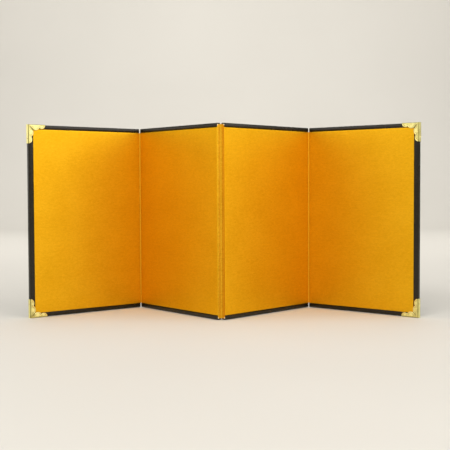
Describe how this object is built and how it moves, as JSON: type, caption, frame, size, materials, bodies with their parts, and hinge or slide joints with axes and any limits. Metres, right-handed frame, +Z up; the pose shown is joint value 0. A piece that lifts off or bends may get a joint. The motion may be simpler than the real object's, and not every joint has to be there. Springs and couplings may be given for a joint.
{
  "type": "folding screen",
  "caption": "Table-top folding screen of gold-papered panels in a zigzag, with black edging, paper hinges and pressed gilt corner fittings.",
  "frame": {"origin": "on the surface that the screen stands on, at the middle of its bounding box", "axes": "+Z up; +X along the unfolded row of panels, to the right as seen from the front; the gold front faces -Y"},
  "size_m": [0.3664, 0.0996, 0.1808],
  "materials": {
    "core_board": "matte",
    "gold_paper": "satin",
    "back_paper": "matte",
    "edging": "gloss",
    "hinge_paper": "satin",
    "edge_paper": "satin",
    "fitting": "satin",
    "nail": "polished"
  },
  "bodies": {
    "panel_1": {"core_board_1": "core_board", "gold_paper_1": "gold_paper", "back_paper_1": "back_paper", "top_rail_1": "edging", "bottom_rail_1": "edging", "left_stile": "edging", "left_hinge_outer_leaf": "hinge_paper", "left_hinge_outer_lining": "edge_paper", "top_left_fitting": "fitting", "bottom_left_fitting": "fitting", "top_left_nails": "nail", "bottom_left_nails": "nail"},
    "panel_2": {"core_board_2": "core_board", "gold_paper_2": "gold_paper", "back_paper_2": "back_paper", "top_rail_2": "edging", "bottom_rail_2": "edging", "left_hinge_inner_leaf": "hinge_paper", "left_hinge_inner_lining": "edge_paper", "centre_hinge_left_leaf": "hinge_paper", "centre_hinge_left_lining": "edge_paper"},
    "panel_3": {"core_board_3": "core_board", "gold_paper_3": "gold_paper", "back_paper_3": "back_paper", "top_rail_3": "edging", "bottom_rail_3": "edging", "centre_hinge_right_leaf": "hinge_paper", "centre_hinge_right_lining": "edge_paper", "right_hinge_inner_leaf": "hinge_paper", "right_hinge_inner_lining": "edge_paper"},
    "panel_4": {"core_board_4": "core_board", "gold_paper_4": "gold_paper", "back_paper_4": "back_paper", "top_rail_4": "edging", "bottom_rail_4": "edging", "right_stile": "edging", "right_hinge_outer_leaf": "hinge_paper", "right_hinge_outer_lining": "edge_paper", "top_right_fitting": "fitting", "bottom_right_fitting": "fitting", "top_right_nails": "nail", "bottom_right_nails": "nail"}
  },
  "joints": [
    {"name": "left_fold", "type": "hinge", "parent": "panel_2", "child": "panel_1", "pos_m": [-0.08359, 0.0469, 0.0904], "axis": [0, 0, 1], "range_deg": [-90, 89.5]},
    {"name": "centre_fold", "type": "hinge", "parent": "panel_2", "child": "panel_3", "pos_m": [-0.00185, -0.04736, 0.0904], "axis": [0, 0, 1], "range_deg": [-98, 81.5]},
    {"name": "right_fold", "type": "hinge", "parent": "panel_3", "child": "panel_4", "pos_m": [0.08626, 0.04097, 0.0904], "axis": [0, 0, -1], "range_deg": [-88, 91.5]}
  ]
}
